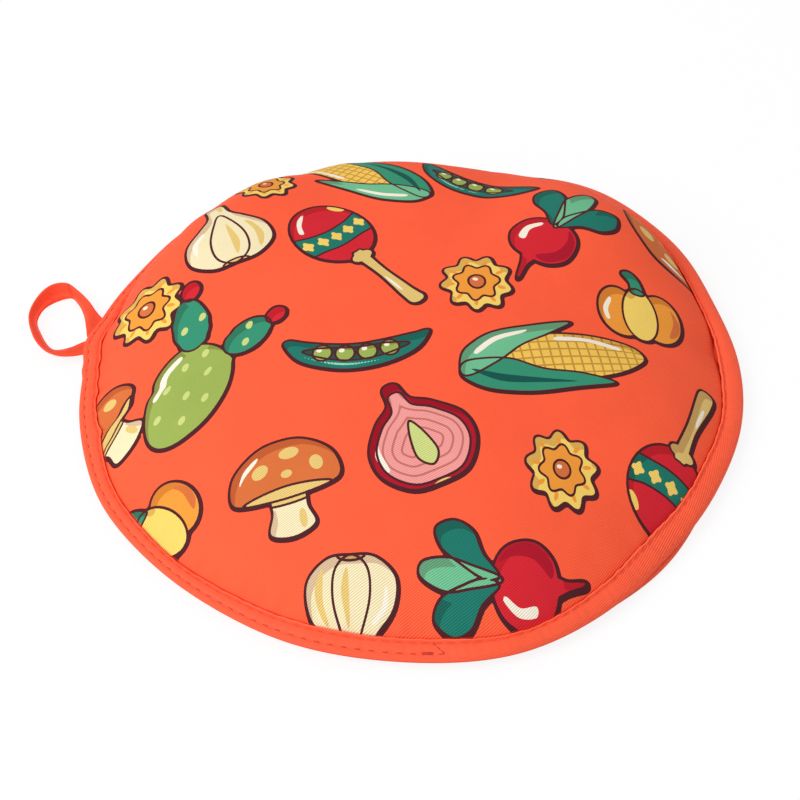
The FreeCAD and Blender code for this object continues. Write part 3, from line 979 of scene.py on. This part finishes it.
binding_tape = satin_tape("orange_tape", (0.978, 0.366, 0.240))
upper_binding = folded_tape("upper_binding", rim_radius, nose_height, UPPER_TILT, narrowed,
                            binding_tape)
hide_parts("upper_binding_rear", "upper_binding_flap")
bends_at_mouth(upper_binding)

lower_binding = folded_tape("lower_binding_tape", lower_rim_radius, lower_nose, 0.0,
                            lambda angle, inward: inward, binding_tape)
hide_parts("lower_binding")
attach(lower_binding, "pouch")

# ---- The stitching ----
# Polyester thread of 0.4 mm. Lockstitch holds each tape, a longer row inside the edge closes
# the two panels into a pouch, and bar tacks end that row and hold the loop.


def spun_thread(name, colour):
    """Sewing thread: a plied twist as a fine noise in colour and height."""
    finish = Finish(name)
    plies = finish.noise(finish.node("TexCoord", output="Object"), 2200.0, 2.0, 0.5)
    return finish.surface(finish.mix(plies, ink([0.82 * c for c in colour]), ink(colour)),
                          plies * 0.15 + 0.42, 0.4, (0.5, 0.0001, plies))


STITCH_STATIONS = np.array([-0.5, -0.42, -0.2, 0.2, 0.42, 0.5])
STITCH_LIFT = np.array([-0.34, -0.06, 0.12, 0.12, -0.06, -0.34])
THREAD_RADIUS = 0.21
THREAD_SIDES = 6


def stitches(name, path, middles, half_turn, finish, skew=0.0):
    """A row of stitches: thin tubes that dive into the cloth at both ends.

    path(angle, extra, lean) is a point of the row with extra height, that far aside of it.
    half_turn is half a stitch as an angle, and skew moves a stitch's two ends apart across the
    row, in millimetres.
    """
    at = middles[:, None] + STITCH_STATIONS * 2 * half_turn
    lean = skew * STITCH_STATIONS[None, :] * np.where(np.arange(len(middles)) % 2, 1, -1)[:, None]
    line = path(at, STITCH_LIFT[None, :] + 0 * at, lean)
    ahead = np.gradient(line, axis=1)
    ahead = ahead / np.linalg.norm(ahead, axis=-1, keepdims=True)
    aside = np.cross(ahead, (0.0, 0.0, 1.0))
    aside = aside / np.linalg.norm(aside, axis=-1, keepdims=True)
    above = np.cross(aside, ahead)
    spin = np.linspace(0, 2 * np.pi, THREAD_SIDES, endpoint=False)
    ring = aside[:, :, None] * np.cos(spin)[:, None] + above[:, :, None] * np.sin(spin)[:, None]
    points = line[:, :, None] + THREAD_RADIUS * ring
    tube = grid_faces(len(STITCH_STATIONS), THREAD_SIDES, joined=(False, True))[0]
    size = len(STITCH_STATIONS) * THREAD_SIDES
    starts = (np.arange(len(middles)) * size)[:, None, None]
    end = np.arange(THREAD_SIDES)
    caps = np.array([end, size - 1 - end])
    faces = [(corners + starts).reshape(-1, corners.shape[1]).tolist() for corners in (tube, caps)]
    return meshed(name, points, faces[0] + faces[1], finish)


def upper_row(inward, from_angle=0.0, slope=0.0):
    """The path of a row on the upper tape, that far in from its folded edge.

    A slanting row runs slope millimetres further in for each radian past from_angle.
    """
    def path(angle, extra, lean):
        place = inward + slope * (angle - from_angle) + lean
        up = TAPE_HALF + face_relief(angle, place) + extra
        return on_tape(rim_radius(angle), nose_height(angle), UPPER_TILT, angle,
                       narrowed(angle, place), up)
    return path


def lower_row(inward):
    """The path of a row under the lower tape, dipping up into it."""
    def path(angle, extra, lean):
        return on_tape(lower_rim_radius(angle), lower_nose(angle), 0.0, angle, inward + lean,
                       -TAPE_HALF + 0.32 - extra * 0.8)
    return path


top_thread = spun_thread("orange_thread", (0.96, 0.38, 0.27))
seam_thread = spun_thread("red_thread", (0.84, 0.20, 0.12))
top_step, seam_step = 2 * np.pi / TOPSTITCHES, 2 * np.pi / SEAM_STITCHES
every = top_step * (np.arange(TOPSTITCHES) + 0.5)
closed = seam_step * (np.arange(SEAM_STITCHES) + 0.5)
closed = closed[np.abs(closed - np.pi) < np.pi - MOUTH_HALF_ANGLE]
rows = [("upper_topstitch", upper_row(TOPSTITCH_AT), every, 0.42 * top_step, top_thread),
        ("lower_topstitch", lower_row(TOPSTITCH_AT), every, 0.42 * top_step, top_thread),
        ("closing_seam", upper_row(SEAM_AT), closed, 0.23 * seam_step, seam_thread),
        ("closing_seam_under", lower_row(1.6), closed, 0.23 * seam_step, seam_thread)]

TACK_LENGTH = 9.0
TACK_SKEW = 1.2
tack = np.linspace(-0.5, 0.5, 12) * TACK_LENGTH / RIM
# the middle of each bar tack as an angle, and how far its stitches are spread out
for name, middle, spread in (("mouth_tack_near", 2 * np.pi - MOUTH_HALF_ANGLE - 0.05, 0.45),
                             ("mouth_tack_far", MOUTH_HALF_ANGLE + 0.05, 0.45),
                             ("loop_tack", np.pi - 0.045, 2.0)):
    rows.append((name, upper_row(SEAM_AT + 0.3), middle + tack * spread,
                 0.5 * (tack[1] - tack[0]), seam_thread, TACK_SKEW))

# a few stitches slant across the tape at each end of the mouth, over this angle
CROSSING = 0.032
CROSS_STITCHES = 3
for name, start, way in (("mouth_end_near", 2 * np.pi - MOUTH_HALF_ANGLE - 0.0345, 1),
                         ("mouth_end_far", MOUTH_HALF_ANGLE + 0.0345, -1)):
    places = start + way * (np.arange(CROSS_STITCHES) + 0.5) / CROSS_STITCHES * CROSSING
    slope = (SEAM_AT - TOPSTITCH_AT) / CROSSING * way
    rows.append((name, upper_row(TOPSTITCH_AT, start, slope), places,
                 0.4 * CROSSING / CROSS_STITCHES, seam_thread))

for row in rows:
    stitching = stitches(*row)
    if row[0] == "upper_topstitch":
        bends_at_mouth(stitching)
    else:
        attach(stitching, "pouch")

# ---- The hanging loop ----
# A 9 mm tape, folded in two along its length and sewn, whose ends are caught in the closing
# seam. It stands on one edge on the table and flares outwards, leaning to one side.
# Each pair is a place along the tape's upper edge and the place facing it on the lower edge.
LOOP_EDGES = np.array([
    ((-138.5, 12.0, 3.7), (-141.0, 1.5, 3.7)), ((-142.5, 13.5, 3.7), (-145.0, 1.0, 3.7)),
    ((-146.5, 15.8, 3.9), (-150.0, 2.5, 3.7)), ((-150.3, 19.0, 4.6), (-152.5, 8.5, 3.4)),
    ((-154.9, 23.6, 6.0), (-155.4, 16.4, 2.2)), ((-161.2, 28.1, 7.2), (-159.6, 24.0, 1.0)),
    ((-167.9, 31.4, 7.9), (-164.7, 28.6, 0.7)), ((-174.7, 28.3, 8.1), (-171.0, 25.6, 0.6)),
    ((-178.7, 19.3, 8.0), (-176.0, 19.6, 0.6)), ((-179.2, 8.5, 7.6), (-176.9, 10.9, 0.6)),
    ((-174.1, -2.9, 7.2), (-172.4, 2.8, 0.7)), ((-167.4, -9.6, 6.6), (-167.3, -3.3, 0.9)),
    ((-160.4, -11.8, 6.0), (-163.0, -5.0, 1.2)), ((-154.5, -10.3, 5.0), (-157.0, -3.0, 2.2)),
    ((-149.5, -7.5, 3.9), (-150.5, 0.8, 3.7)), ((-145.5, -7.0, 3.7), (-145.5, 1.5, 3.7)),
    ((-139.5, -7.0, 3.7), (-139.5, 1.8, 3.7))])
LOOP_THICK = 0.95
STEPS_BETWEEN = 12


def along_edges(pairs, steps):
    """The two edges as smooth open curves, by the same cubic between the places."""
    ends = np.concatenate([2 * pairs[:1] - pairs[1:2], pairs, 2 * pairs[-1:] - pairs[-2:-1]])
    share = (np.arange(steps) / steps)[:, None, None, None]
    curve = cubic(ends[:-3], ends[1:-2], ends[2:-1], ends[3:], share)
    return np.concatenate([curve.transpose(1, 0, 2, 3).reshape(-1, 2, 3), pairs[-1:]])


def squared(wave):
    """A wave flattened towards 1 and -1, so that a round section turns into a flat one."""
    return np.sign(wave) * np.abs(wave) ** 0.45


def loop_tape_point(edges, across, off):
    """A point of the loop's tape: across from -1 to 1 between its edges, off its middle."""
    middle = edges.mean(1)
    ahead = np.gradient(middle, axis=0)
    over = edges[:, 0] - edges[:, 1]
    facing = np.cross(ahead, over)
    facing = facing / np.linalg.norm(facing, axis=1, keepdims=True)
    return (middle[:, None] + over[:, None] * (across / 2)[..., None]
            + facing[:, None] * off[..., None])


edges = along_edges(LOOP_EDGES, STEPS_BETWEEN)
turn = np.linspace(0, 2 * np.pi, 28, endpoint=False)
across, plies = squared(np.cos(turn)), squared(np.sin(turn))
station = np.linspace(0, 1, len(edges))[:, None]
hem = 1 + 0.28 * ridge(np.abs(across), 0.86, 0.10) - 0.25 * ridge(across, -0.66, 0.09)
ripple = (0.22 * np.sin(2 * np.pi * 7.3 * station + 1.1) - 0.35) * (1 - across ** 2)
off = LOOP_THICK / 2 * plies * hem + ripple
loop_tape = satin_tape("loop_tape", (0.985, 0.325, 0.21))
length = np.concatenate([[0], np.cumsum(np.linalg.norm(np.diff(edges.mean(1), axis=0), axis=1))])
hanging_loop = sewn_piece("hanging_loop_tape", loop_tape_point(edges, across, off), loop_tape,
                          joined=(False, True),
                          lengths=(length, np.linspace(0, 20.0, len(turn) + 1)))
# a painted highlight runs along one hem, and painted shade darkens the tape at its ends and where
# it
# turns over: how much lighter or darker it is at each point
from_end = np.minimum(station, 1 - station)
turned_over = ridge(station, 0.36, 0.012) * (across > -0.9)
end_shade = np.exp(-(from_end / 0.27) ** 4) * (1 - across ** 2)
creases = (0.45 * ridge(across, -0.51, 0.09) * (from_end > 0.2) - 0.25 * end_shade
           - 0.3 * turned_over)
keep(hanging_loop, "creases", creases.ravel())
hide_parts("hanging_loop", "hanging_loop_tails")
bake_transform(hanging_loop)
